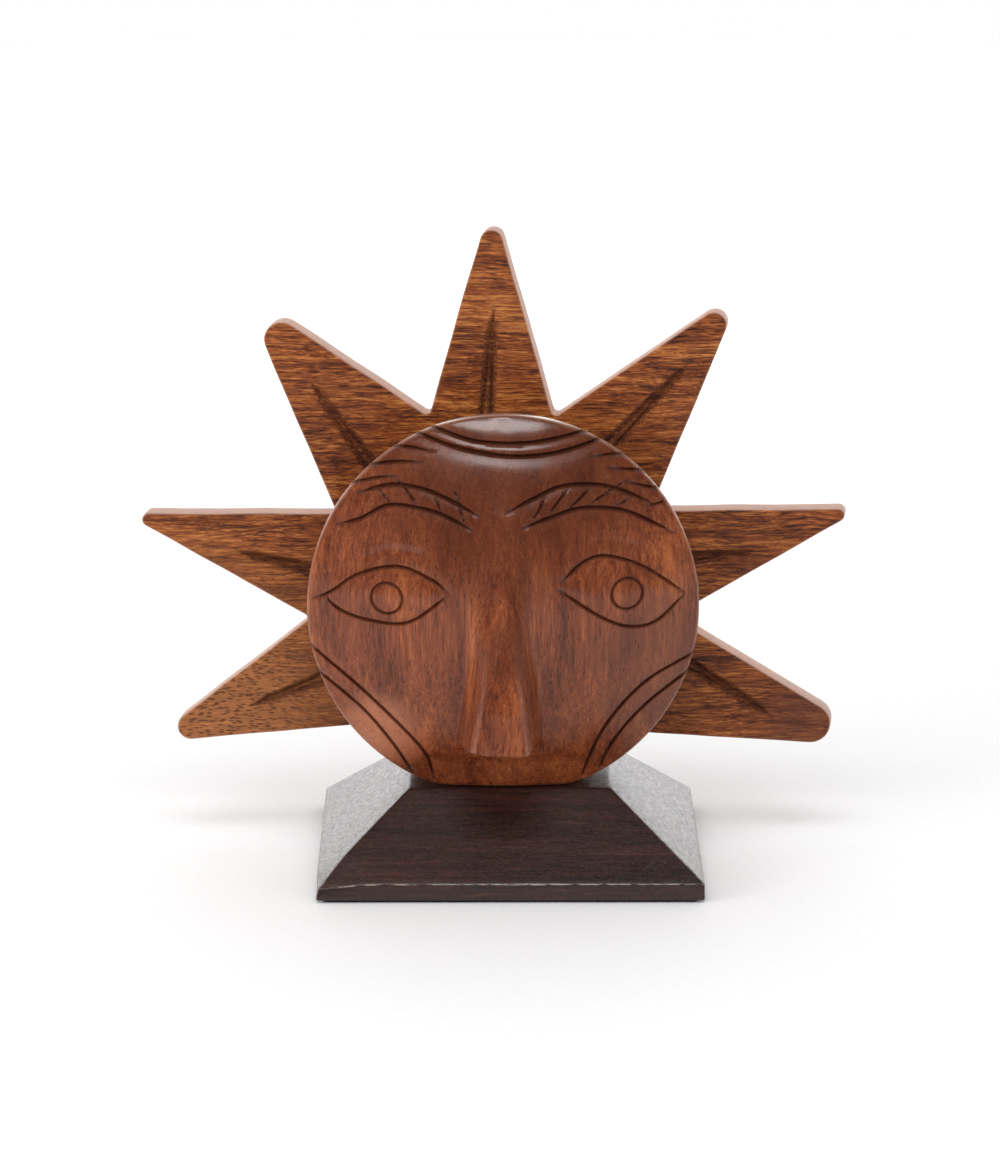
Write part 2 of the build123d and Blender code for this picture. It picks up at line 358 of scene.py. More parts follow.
class Cut:
    """One V-shaped cut of the carving tool along a smooth line."""

    def __init__(self, points, half, depth, tapers, shoulder=0.12, closed=False):
        self.line = np.asarray(points, float) if closed else smooth_line(points)
        if closed:
            self.line = np.vstack([self.line, self.line[:1]])
        travelled = lengths_along(self.line)
        share = np.ones(len(self.line))
        for taper, gone in zip(tapers, (travelled, travelled[-1] - travelled)):
            if taper:
                share *= np.clip(gone / taper, 0.02, 1) ** 0.6
        wobble = 1 + 0.12 * wander(self.line[:, 0], self.line[:, 1], 2.5, channel=len(points))
        self.share = share * wobble
        self.half = half * self.share
        self.depth = depth
        self.shoulder = shoulder

    def samples(self):
        """Mesh points on the bottom of the cut, its edges and its shoulders."""
        side = left_of(np.gradient(self.line, axis=0))
        rows = [self.line]
        if self.half.max() > wide_cut:
            rows += [self.line + way * side * self.half[:, None] / 2 for way in (-1, 1)]
        for out in (0.0, 0.3, 0.75):
            for way in (-1, 1):
                rows.append(self.line + way * side * (self.half + out)[:, None])
        return rows

    def lower(self, x, z):
        """How deep the cut is at each point, and how far inside it the point is."""
        deep, inside = np.zeros((2, len(x)))
        reach = 3.0 * max(self.shoulder, 0.3) / 0.3 + self.half.max()
        low, high = self.line.min(0) - reach, self.line.max(0) + reach
        near = np.flatnonzero((x > low[0]) & (x < high[0]) & (z > low[1]) & (z < high[1]))
        if not len(near):
            return deep, inside
        px, pz = x[near], z[near]
        best = np.full(len(near), 1e9)
        half = np.full(len(near), 0.1)
        share = np.zeros(len(near))
        rows = np.column_stack([self.line, self.half, self.share])
        for a, along in zip(rows, np.diff(rows, axis=0)):
            t = ((px - a[0]) * along[0] + (pz - a[1]) * along[1]) / (along[:2] @ along[:2])
            t = np.clip(t, 0, 1)
            gap = np.hypot(px - a[0] - t * along[0], pz - a[1] - t * along[1])
            closer = gap < best
            best[closer] = gap[closer]
            half[closer] = (a[2] + t * along[2])[closer]
            share[closer] = (a[3] + t * along[3])[closer]
        v = np.clip(1 - best / half, 0, 1)
        deep[near] = share * (self.depth * v + self.shoulder * np.exp(-((best / shoulder_width) ** 2)))
        inside[near] = np.clip(stain_and_shade_reach - best / half, 0, 1)
        return deep, inside


def all_cuts(cuts, x, z):
    """The deepest of the cuts at each point, and how far inside a cut the point is."""
    deep, inside = np.zeros((2, len(x)))
    for cut in cuts:
        one_deep, one_inside = cut.lower(x, z)
        deep = np.maximum(deep, one_deep)
        inside = np.maximum(inside, one_inside)
    return deep, inside


# ---- mesh building


class Surface:
    """Collects faces and points, with how far each point is in a cut and on the sawn side."""

    def __init__(self):
        self.rows = []
        self.faces = []

    def add(self, flat, depth, cut=0.0, side=0.0):
        """Adds points at (x, height) and depth y. Returns their numbers."""
        first = len(self.rows)
        spread = [np.broadcast_to(value, len(flat)) for value in (depth, cut, side)]
        self.rows.extend((x, y, z, *marks) for (x, z), y, *marks in zip(flat, *spread))
        return np.arange(first, len(self.rows))

    def strip(self, one, other):
        """Joins two closed rings of the same number of points."""
        after_one, after_other = np.roll(one, -1), np.roll(other, -1)
        for a, b, c, d in zip(one, after_one, after_other, other):
            self.faces.append((int(a), int(b), int(c), int(d)))

    def fill(self, outline, inner_points, holes, depth):
        """A triangulated sheet inside the outline, with round holes, at depth(x, z)."""
        loops = [np.asarray(outline)] + [ring(*hole) for hole in holes]
        flat = np.vstack(loops + [np.asarray(inner_points).reshape(-1, 2)])
        edges = []
        first = len(loops[0])
        for loop in loops[1:]:
            numbers = list(range(first, first + len(loop)))
            edges.extend(zip(numbers, numbers[1:] + numbers[:1]))
            first += len(loop)
        vectors = [Vector(p) for p in flat]
        outer = list(range(len(loops[0])))
        found, _, faces, _, _, _ = delaunay_2d_cdt(vectors, edges, [outer], 1, 1e-6)
        found = np.array([tuple(v) for v in found])
        y, cut = depth(found[:, 0], found[:, 1])
        numbers = self.add(found, y, cut)
        for face in faces:
            middle = found[list(face)].mean(0)
            if all(np.hypot(*(middle - centre)) > radius * 0.99 for centre, radius in holes):
                self.faces.append(tuple(int(numbers[i]) for i in face))

    def bore(self, centre, radii, depths):
        """The wall of a round hole through (radius, depth) pairs. Returns each ring's numbers."""
        rows = [self.add(ring(centre, r), y) for r, y in zip(radii, depths)]
        for one, other in zip(rows, rows[1:]):
            self.strip(one, other)
        return rows

    def finish(self, name, origin, sharp_angle):
        """The object made of the collected faces, moved to its origin (x, z)."""
        mesh = bpy.data.meshes.new(name)
        rows = np.array(self.rows)
        points = (rows[:, :3] + (origin[0], 0, origin[1])) * MM
        mesh.from_pydata(points.tolist(), [], self.faces)
        set_attribute(mesh, "cut", rows[:, 3])
        set_attribute(mesh, "side", rows[:, 4])
        work = bmesh.new()
        work.from_mesh(mesh)
        bmesh.ops.remove_doubles(work, verts=work.verts, dist=2e-7)
        bmesh.ops.recalc_face_normals(work, faces=work.faces)
        work.to_mesh(mesh)
        work.free()
        return show(mesh, sharp_angle)


def set_attribute(mesh, name, values):
    """Gives each point of a mesh a value that the materials read."""
    attribute = mesh.attributes.new(name, "FLOAT", "POINT")
    attribute.data.foreach_set("value", np.array(values, np.float32))


def baked(work, name):
    """The mesh of a bmesh, which is freed."""
    mesh = bpy.data.meshes.new(name)
    work.to_mesh(mesh)
    work.free()
    return mesh


def linked(name, data):
    """A new object in the scene."""
    piece = bpy.data.objects.new(name, data)
    bpy.context.scene.collection.objects.link(piece)
    return piece


def show(mesh, sharp_angle):
    """Links a mesh to the scene as an object, smooth apart from edges sharper than the angle."""
    mesh.shade_smooth()
    mesh.set_sharp_from_angle(angle=math.radians(sharp_angle))
    return linked(mesh.name, mesh)


def inset(outline, distance):
    """A closed outline, counter-clockwise, moved inwards."""
    along = np.roll(outline, -1, axis=0) - np.roll(outline, 1, axis=0)
    return outline + distance * left_of(along)


def spaced(rows, gaps):
    """Keeps points in order, each at least its row's gap away from those kept before."""
    width = max(gaps)
    kept, grid = [], {}
    for row, gap in zip(rows, gaps):
        for p in np.asarray(row).reshape(-1, 2):
            home = (int(p[0] // width), int(p[1] // width))
            around = [grid.get((home[0] + i, home[1] + j), ()) for i in (-1, 0, 1) for j in (-1, 0, 1)]
            close = (q for cell in around for q in cell)
            if all((p[0] - q[0]) ** 2 + (p[1] - q[1]) ** 2 > gap**2 for q in close):
                grid.setdefault(home, []).append(p)
                kept.append(p)
    return np.array(kept)


def honeycomb(low, high, step):
    """Evenly spaced points in a box, in offset rows."""
    points = []
    for row, z in enumerate(np.arange(low[1], high[1], step * 0.866)):
        start = low[0] + (step / 2 if row % 2 else 0)
        points.extend((x, z) for x in np.arange(start, high[0], step))
    return np.array(points)


def front_points(cuts, cut_gap, grids):
    """Mesh points along the cuts, and then on grids of (low, high, step, gap) between them."""
    rows = [row for cut in cuts for row in cut.samples()]
    gaps = [cut_gap] * len(rows) + [gap for _, _, _, gap in grids]
    rows += [honeycomb(low, high, step) for low, high, step, _ in grids]
    return spaced(rows, gaps)


def relief_board(outline, edge_round, mesh_points, front, back, front_holes, back_holes, lean=(0, 0)):
    """A board with a carved front, a flat back, rounded edges and round holes."""
    surface = Surface()
    back_outline = outline + lean
    turns = np.radians([90, 60, 30, 0])
    front_rings, back_rings = [], []
    for turn in turns:
        loop = inset(outline, edge_round * (1 - math.cos(turn)))
        back_loop = inset(back_outline, edge_round * (1 - math.cos(turn)))
        drop = edge_round * (1 - math.sin(turn))
        y, cut = front(loop[:, 0], loop[:, 1])
        on_side = 1 - turn / turns[0]
        front_rings.append(surface.add(loop, y + drop, cut, on_side))
        back_rings.append(surface.add(back_loop, back - drop, 0.0, on_side))
    rings = front_rings + back_rings[::-1]
    for one, other in zip(rings, rings[1:]):
        surface.strip(one, other)
    surface.fill(inset(outline, edge_round), mesh_points, front_holes, front)
    back_fill = honeycomb(outline.min(0), outline.max(0), 6.0)
    back_fill = [p for p in back_fill if inside_outline(p, inset(back_outline, 2.0))]
    back_fill = clear_of(back_holes, back_fill, 1)
    back_edge = inset(back_outline, edge_round)
    surface.fill(back_edge, back_fill, back_holes, lambda x, z: (back, 0.0))
    return surface


def clear_of(holes, points, gap):
    """The points that are further than the gap from every round hole."""
    return [p for p in points if all(np.hypot(*(p - c)) > r + gap for c, r in holes)]


def inside_outline(point, outline):
    """Whether a point lies inside a closed outline."""
    x, z = point
    after = np.roll(outline, -1, axis=0)
    crosses = (outline[:, 1] > z) != (after[:, 1] > z)
    rise = np.where(after[:, 1] == outline[:, 1], 1e-9, after[:, 1] - outline[:, 1])
    at = outline[:, 0] + (z - outline[:, 1]) / rise * (after[:, 0] - outline[:, 0])
    return np.count_nonzero(crosses & (x < at)) % 2 == 1


# ---- face


def face_cuts():
    """Every carved line of the face."""
    cuts = [Cut(line, half=0.42, depth=0.85, tapers=(0, 0), shoulder=0.3) for line in lines_to_rim]
    cuts += [Cut(line, half=0.36, depth=0.7, tapers=(0, 4)) for line in lines_from_rim]
    cuts += [Cut(line, half=0.42, depth=0.75, tapers=(4, 4), shoulder=0.2) for line in brow_lines]
    cuts += [Cut(line, half=0.28, depth=0.5, tapers=(0.8, 0.8), shoulder=0.05) for line in brow_hatches]
    cuts += [Cut(line, half=0.36, depth=0.6, tapers=(3, 3)) for line in lid_lines]
    for centre in iris_centres:
        cuts.append(Cut(ring(centre, iris_radius, 60), half=0.32, depth=0.42, tapers=(0, 0), closed=True))
    return cuts


def nose_depth(x, z):
    """Depth y of the nose's facets: a ridge that splits into a flat front lower down."""
    front = np.interp(z, nose_heights, nose_fronts)
    left = np.interp(z, crease_heights, left_creases)
    crease = np.where(x < 0, left, np.interp(z, crease_heights, right_creases))
    facet = np.where(x < 0, left_facet, right_facet)
    facet = facet * np.clip((nose_facet_top - z) / (nose_facet_top - nose_bottom), 0, 1) ** 0.85
    at_crease = dome_depth(crease, z)
    share = np.maximum(np.abs(x) - facet, 0) / (crease - facet)
    beyond = np.maximum(share - 1, 0)
    return front + np.minimum(share, 1) * (at_crease - front) + nose_foot_slope * beyond


def dome_depth(x, z):
    """Depth y of the plain dome."""
    squared = np.minimum(x**2 + z**2, disc_radius**2)
    return dome_front + dome_sphere - np.sqrt(dome_sphere**2 - squared)


def softened(depth, x, z, radius):
    """The depth averaged over a small circle, which rounds its edges."""
    total = depth(x, z)
    turns = np.linspace(0, 2 * math.pi, 8, endpoint=False)
    for turn in turns:
        total = total + depth(x + radius * math.cos(turn), z + radius * math.sin(turn))
    return total / (len(turns) + 1)


def smooth_step(value):
    """Goes smoothly from 0 to 1 as the value does."""
    value = np.clip(value, 0, 1)
    return value * value * (3 - 2 * value)


def face_front(x, z, cuts, folds):
    """Depth y of the carved face, and how far inside a cut each point is."""
    lowered = z
    for dent_x, width, height in nose_dents:
        lowered = lowered - height * np.exp(-(((x - dent_x) / width) ** 2)) * (z < nose_bottom + 4)
    nose = softened(nose_depth, x, lowered, np.interp(z, nose_softness_heights, nose_softness))
    dome = dome_depth(x, z)
    for centre_x, centre_z, half_length, half_height in eyeballs:
        spread = ((x - centre_x) / half_length) ** 2 + ((z - centre_z) / half_height) ** 2
        dome = dome - eyeball_rise * np.clip(1 - spread, 0, 1) ** 1.3
    under = smooth_step((chin_step_z - z) / chin_step_fall)
    under = under * smooth_step((chin_step_half - np.abs(x)) / chin_step_fade)
    dome = dome + chin_step_depth * under
    dome = dome + disc_unevenness * wander(x, z, 6.0)
    gap = np.clip((dome - nose) / nose_blend, -40, 40)
    depth = dome - nose_blend * np.logaddexp(0, gap)
    deep, inside = all_cuts(cuts, x, z)
    fold_deep, _ = all_cuts(folds, x, z)
    return depth + deep + fold_deep, inside


def disc_outline():
    """The disc's edge, cut flat where it stands on the base."""
    half_angle = math.acos(-disc_cut / disc_radius)
    turns = np.linspace(-math.pi / 2 + half_angle, 1.5 * math.pi - half_angle, 430)
    arc = disc_radius * directions(turns)
    flat = np.linspace(arc[-1][0], arc[0][0], 40)[1:-1]
    return np.vstack([arc, np.column_stack([flat, np.full(len(flat), disc_cut)])])


def face_points(cuts):
    """Mesh points of the face: dense along the cuts, on the nose and on the eyes."""
    points = front_points(cuts, 0.22, face_grids)
    margin = disc_edge_round + 0.2
    reach = np.hypot(points[:, 0], points[:, 1])
    return points[(reach < disc_radius - margin) & (points[:, 1] > disc_cut + margin)]


def make_face():
    """The domed face with its nose, eyes and carved lines."""
    cuts = face_cuts()
    folds = [Cut(points, half, depth, (3, 3), 0.05) for points, half, depth in soft_folds]
    back_holes = [((x, z), radius) for x, z, radius, floor in dowel_holes]
    surface = relief_board(
        disc_outline(), disc_edge_round, face_points(cuts),
        lambda x, z: face_front(x, z, cuts, folds), disc_back, [], back_holes,
    )
    for x, z, radius, floor in dowel_holes:
        rows = surface.bore((x, z), (radius, radius), (disc_back, floor))
        surface.faces.append(tuple(int(i) for i in rows[-1]))
    return surface.finish("face_carving", (disc_x, disc_z), 32)


# ---- sun panel


def rounded(points, radii, step):
    """A closed outline with its corners rounded, its samples about step apart."""
    points = np.asarray(points, float)
    path = []
    for before, corner, after, radius in zip(
        np.roll(points, 1, axis=0), points, np.roll(points, -1, axis=0), radii
    ):
        to_before = (before - corner) / np.linalg.norm(before - corner)
        to_after = (after - corner) / np.linalg.norm(after - corner)
        half_turn = math.acos(np.clip(to_before @ to_after, -1, 1)) / 2
        back_off = radius / math.tan(half_turn)
        start, end = corner + to_before * back_off, corner + to_after * back_off
        bisector = (to_before + to_after) / np.linalg.norm(to_before + to_after)
        centre = corner + bisector * radius / math.sin(half_turn)
        first = math.atan2(*(start - centre)[::-1])
        sweep = math.atan2(*(end - centre)[::-1]) - first
        sweep = (sweep + math.pi) % (2 * math.pi) - math.pi
        turns = first + sweep * np.linspace(0, 1, 14)
        path.append(centre + radius * directions(turns))
    return resample(np.vstack(path), step, closed=True)


def sun_outline():
    """The star's outline, counter-clockwise, as a hand-held saw left it."""
    foot = sun_foot - sun_z
    corners = []
    for valley, ray in zip(valleys, rays):
        corners += [(polar(*valley), valley_round), (polar(*ray[:2]), ray[2])]
    corners.append((polar(*left_shoulder), valley_round))
    corners += [((x, foot), foot_round) for x in (-foot_half, foot_half)]
    corners.append((polar(*right_shoulder), valley_round))
    corners.append((polar(*rays[-1][:2]), rays[-1][2]))
    outline = rounded(*zip(*corners), 0.6)
    sway = outline_sway * wander(outline[:, 0], outline[:, 1], 9.0, channel=3)
    flat_foot = smooth_step((outline[:, 1] - foot) / 3)
    return outline + (inset(outline, 1.0) - outline) * (sway * flat_foot)[:, None]


def gouge_cuts():
    """Each leaf-shaped gouge is two cuts that part slowly from its outer point."""
    cuts = []
    for angle, outer, lean in gouges:
        direction = polar(angle, 1.0)
        side = np.array([-direction[1], direction[0]])
        for way in (-1, 1):
            points = []
            for radius in np.linspace(outer, gouge_inner, 8):
                share = (outer - radius) / (outer - gouge_inner)
                points.append(direction * radius + side * share * (lean + way * gouge_parting))
            tapers = (gouge_point_length, 0)
            cuts.append(Cut(points, gouge_half, gouge_depth, tapers, shoulder=0.06))
    return cuts


def sun_front_depth(x, z, cuts):
    """Depth y of the panel's front, and how far inside a cut each point is."""
    deep, inside = all_cuts(cuts, x, z)
    return sun_front + sun_unevenness * (1 + wander(x, z, 8.0, channel=5)) + deep, inside


def sun_points(outline, cuts, holes):
    """Mesh points of the panel's front: dense along the gouges, none near an edge or a hole."""
    points = front_points(cuts, 0.25, [(outline.min(0), outline.max(0), 1.6, 0.8)])
    edge = inset(outline, sun_edge_round + 0.35)
    points = [p for p in points if inside_outline(p, edge)]
    return clear_of(holes, points, 0.4)


def make_sun():
    """The ray panel, with a gouge down each ray and screw holes from the back."""
    cuts = gouge_cuts()
    outline = sun_outline()
    wide, narrow = counterbore_radius, screw_hole_radius
    front_holes = [(place, narrow) for place in panel_screw_places]
    back_holes = [(place, wide) for place in panel_screw_places]
    surface = relief_board(
        outline, sun_edge_round, sun_points(outline, cuts, front_holes),
        lambda x, z: sun_front_depth(x, z, cuts), sun_back, front_holes, back_holes, sun_saw_lean,
    )
    for place in panel_screw_places:
        depths = (sun_back, counterbore_floor, counterbore_floor)
        rows = surface.bore(place, (wide, wide, narrow), depths)
        flat = ring(place, narrow)
        y, _ = sun_front_depth(flat[:, 0], flat[:, 1], cuts)
        surface.strip(rows[-1], surface.add(flat, y))
    return surface.finish("sun_rays", (sun_x, sun_z), 35)


# ---- base, spacer


def drilled(piece, holes):
    """Cuts round holes, each (centre, axis, radius, reach to both sides of it), out of a piece."""
    tools = []
    for centre, axis, radius, reach in holes:
        work = bmesh.new()
        size = {"radius1": radius * MM, "radius2": radius * MM, "depth": 2 * reach * MM}
        bmesh.ops.create_cone(work, cap_ends=True, segments=32, **size)
        tool = linked("drill", baked(work, "drill"))
        tool.rotation_mode = "QUATERNION"
        tool.rotation_quaternion = Vector(axis).to_track_quat("Z", "Y")
        tool.location = Vector(centre) * MM
        cutter = piece.modifiers.new("drill", "BOOLEAN")
        cutter.operation = "DIFFERENCE"
        cutter.solver = "EXACT"
        cutter.object = tool
        tools.append(tool)
    evaluated = piece.evaluated_get(bpy.context.evaluated_depsgraph_get())
    mesh = bpy.data.meshes.new_from_object(evaluated)
    piece.modifiers.clear()
    piece.data = mesh
    mesh.name = piece.name
    for tool in tools:
        bpy.data.objects.remove(tool)
    return piece


def ease_edges(work, width, segments):
    """Rounds every edge of a bmesh."""
    bmesh.ops.bevel(
        work, geom=work.edges[:], offset=width, segments=segments, profile=0.5, affect="EDGES"
    )


def plane_gaps(points, planes):
    """For each point, how far it is inside the nearest of the planes."""
    gaps = [offset - np.array(normal) @ points.T for normal, offset in planes]
    return np.min(gaps, axis=0)


def make_base():
    """The base block, with a band, four slopes and slightly worn edges."""
    half = (base_high - base_low) / 2
    bottom, top = base_low[2], base_high[2]
    levels = [(*half[:2], bottom), (*half[:2], band_top), (*(half[:2] - slope_inset), top)]
    corners = [(-1, -1), (1, -1), (1, 1), (-1, 1)]
    work = bmesh.new()
    rows = [[work.verts.new((i * hx, j * hy, z)) for i, j in corners] for hx, hy, z in levels]
    work.faces.new(rows[0][::-1])
    work.faces.new(rows[-1])
    for low, high in zip(rows, rows[1:]):
        for k in range(4):
            work.faces.new((low[k], low[(k + 1) % 4], high[(k + 1) % 4], high[k]))
    work.normal_update()
    planes = [(tuple(face.normal), face.normal @ face.verts[0].co) for face in work.faces]
    ease_edges(work, base_ease, 4)
    long_edges = [edge for edge in work.edges if edge.calc_length() > 3]
    bmesh.ops.subdivide_edges(work, edges=long_edges, cuts=24, use_grid_fill=True)
    for vert in work.verts:
        if vert.co.z > bottom + 0.01:
            sway = noise.noise(vert.co / 9 + Vector((0, 0, SEED_SHIFT)))
            vert.co += vert.normal * (base_unevenness * sway - base_unevenness)
    points = np.array([tuple(vert.co) for vert in work.verts])
    worn = np.clip((plane_gaps(points, planes) - worn_from) / worn_fade, 0, 1)
    worn = worn * (abs(points[:, 2] - band_top) < worn_height)
    for vert in work.verts:
        away = (vert.co - Vector(sanded_corner)).length / sanded_reach
        raised = min((vert.co.z - bottom) / (band_top - bottom), 1)
        vert.co += Vector(sanded_way) * sanded_depth * raised * math.exp(-(away**2))
        vert.co *= MM
    mesh = baked(work, "base_body")
    set_attribute(mesh, "worn", worn)
    holes = []
    for x, y in base_holes:
        holes.append(((x, y, bottom), UP, counterbore_radius, base_counterbore_top - bottom))
        holes.append(((x, y, top / 2), UP, screw_hole_radius, top))
    return drilled(show(mesh, 40), holes)


def make_spacer():
    """The block between the disc and the panel, with eased edges and its holes."""
    low, high = node_box("spacer_block")
    work = bmesh.new()
    bmesh.ops.create_cube(work, size=1.0)
    for vert in work.verts:
        share = np.array(vert.co) + 0.5
        vert.co = Vector((low + share * (high - low)) * MM)
    ease_edges(work, spacer_ease * MM, 3)
    holes = [((x, y, low[2]), UP, screw_hole_radius, base_screw_depth) for x, y in base_holes]
    for x, z in panel_screw_places:
        place = (sun_x + x, high[1], sun_z + z)
        holes.append((place, BACK, screw_hole_radius, panel_screw_depth))
    for x, z, radius, floor in dowel_holes:
        holes.append(((disc_x + x, low[1], disc_z + z), BACK, radius, dowel_depth))
    return drilled(show(baked(work, "spacer_post"), 40), holes)


# ---- materials


def tone(red, green, blue):
    """A colour given in display values from 0 to 255, as the shader's linear colour."""
    linear = []
    for value in (red, green, blue):
        share = value / 255
        linear.append(share / 12.92 if share <= 0.04045 else ((share + 0.055) / 1.055) ** 2.4)
    return (*linear, 1.0)


class Shader:
    """Short ways to add and join the nodes of a new material, or of a world."""

    def __init__(self, name, world=None):
        self.material = world or bpy.data.materials.new(name)
        self.material.use_nodes = True
        self.tree = self.material.node_tree
        self.surface = self.tree.nodes["Background" if world else "Principled BSDF"]

    def put(self, socket, value):
        """Joins a node's output to a socket, or sets the socket to a plain value."""
        if isinstance(value, bpy.types.NodeSocket):
            self.tree.links.new(value, socket)
        else:
            socket.default_value = value

    def add(self, kind, inputs=(), **settings):
        node = self.tree.nodes.new(kind)
        for name, value in settings.items():
            setattr(node, name, value)
        for name, value in dict(inputs).items():
            self.put(node.inputs[name], value)
        return node

    def set(self, **values):
        """Sets inputs of the surface or background, named with _ for a space."""
        for name, value in values.items():
            self.put(self.surface.inputs[name.replace("_", " ")], value)

    def math(self, operation, *values):
        return self.add("ShaderNodeMath", dict(enumerate(values)), operation=operation).outputs[0]

    def times(self, *values):
        return self.math("MULTIPLY", *values)

    def vector(self, operation, *values):
        return self.add("ShaderNodeVectorMath", dict(enumerate(values)), operation=operation).outputs[0]

    def mix(self, share, one, other):
        return self.add("ShaderNodeMix", {0: share, 6: one, 7: other}, data_type="RGBA").outputs[2]

    def between(self, value, low, high, to_low=0.0, to_high=1.0):
        """Goes smoothly from to_low to to_high as the value goes from low to high."""
        inputs = {"Value": value, "From Min": low, "From Max": high, "To Min": to_low, "To Max": to_high}
        return self.add("ShaderNodeMapRange", inputs, interpolation_type="SMOOTHSTEP").outputs[0]

    def noise(self, vector, detail=2.0, roughness=0.5):
        inputs = {"Vector": vector, "Scale": 1.0, "Detail": detail, "Roughness": roughness}
        return self.add("ShaderNodeTexNoise", inputs).outputs[0]

    def cells(self, vector):
        inputs = {"Vector": vector, "Scale": 1.0}
        return self.add("ShaderNodeTexVoronoi", inputs).outputs["Distance"]

    def place(self):
        """Coordinates on the object, in metres."""
        return self.add("ShaderNodeTexCoord").outputs["Object"]

    def place_noise(self, per_metre, detail, roughness=0.5):
        """Noise with so many swings to a metre along each axis."""
        return self.noise(self.vector("MULTIPLY", self.place(), per_metre), detail, roughness)

    def ramp(self, value, *stops):
        node = self.add("ShaderNodeValToRGB", {0: value})
        elements = node.color_ramp.elements
        while len(elements) < len(stops):
            elements.new(0.5)
        for element, (place, colour) in zip(elements, stops):
            element.position = place
            element.color = colour
        return node.outputs[0]

    def bump(self, height, depth, normal=None):
        """A bump of that many millimetres."""
        inputs = {"Height": height, "Distance": depth * MM, "Strength": 1.0}
        if normal is not None:
            inputs["Normal"] = normal
        return self.add("ShaderNodeBump", inputs).outputs[0]

    def near(self, centre, radius):
        """1 around a place of the object, in millimetres, and 0 further off than the radius."""
        away = self.vector("SUBTRACT", self.place(), tuple(c * MM for c in centre))
        far = self.add("ShaderNodeVectorMath", {0: away}, operation="LENGTH").outputs["Value"]
        return self.between(far, 0.4 * radius * MM, radius * MM, 1.0, 0.0)

    def attribute(self, name):
        return self.add("ShaderNodeAttribute", attribute_name=name).outputs["Fac"]


class Grain:
    """Wood coordinates in millimetres, with the grain along one axis, slightly wavy."""

    def __init__(self, shader, axis, shift, sway, sway_size):
        self.shader = shader
        self.axis = axis
        inputs = {"Vector": shader.place(), "Location": shift, "Scale": (1 / MM,) * 3}
        moved = shader.add("ShaderNodeMapping", inputs).outputs[0]
        slow = shader.vector("MULTIPLY", moved, (1 / sway_size,) * 3)
        waves = shader.add("ShaderNodeTexNoise", {"Vector": slow, "Scale": 1.0, "Detail": 1.0})
        centred = shader.vector("SUBTRACT", waves.outputs["Color"], (0.5, 0.5, 0.5))
        self.place = shader.vector("ADD", moved, shader.vector("MULTIPLY", centred, (2 * sway,) * 3))

    def scaled(self, along, across):
        """Coordinates in which one unit is so many millimetres along and across the grain."""
        sizes = [1 / across] * 3
        sizes["XYZ".index(self.axis)] = 1 / along
        return self.shader.vector("MULTIPLY", self.place, tuple(sizes))


def streaks(s, grain, colours, layers, spread):
    """The colour of streaks of several sizes, from dark to light."""
    value = None
    for length, width, weight in layers:
        one = s.times(s.noise(grain.scaled(length, width), 2.0, 0.6), weight)
        value = one if value is None else s.math("ADD", value, one)
    last = len(colours) - 1
    stops = [(0.5 + spread * (2 * i / last - 1), colour) for i, colour in enumerate(colours)]
    return s.ramp(value, *stops)


def in_places(s, grain, value, size):
    """The value where a slow noise is high, and 0 elsewhere."""
    shown = s.between(s.noise(grain.scaled(*size), 1.0), *mask_limits)
    return s.times(value, shown)


def vein_places(s, grain, length, width, share):
    """Where the thin dark veins are: along the middle of a noise."""
    level = s.noise(grain.scaled(length, width), 1.0)
    off = s.math("ABSOLUTE", s.math("SUBTRACT", level, 0.5))
    return in_places(s, grain, s.between(off, 0.0, vein_half_width, share, 0.0), vein_mask_size)


def pore_places(s, grain, size, share):
    """Where the open pores are: in the middle of short cells."""
    cells = s.between(s.cells(grain.scaled(*size)), *pore_limits, share, 0.0)
    return in_places(s, grain, cells, pore_mask_size)


def wood_roughness(s, grain, fibres, pores, rough, tooth):
    """A little uneven along the fibres, with dull spots, and higher where sawn, cut or porous."""
    value = s.between(fibres, 0.2, 0.8, rough - 0.03, rough + 0.05)
    if tooth:
        spots = s.noise(grain.scaled(*dull_size), 3.0, 0.6)
        value = s.math("ADD", value, s.between(spots, *dull_limits, 0.0, dull_roughness))
    rougher = [(s.attribute("side"), sawn_roughness), (s.attribute("cut"), cut_roughness)]
    for share, added in rougher + [(pores, pore_roughness)]:
        value = s.math("ADD", value, s.times(share, added))
    return value


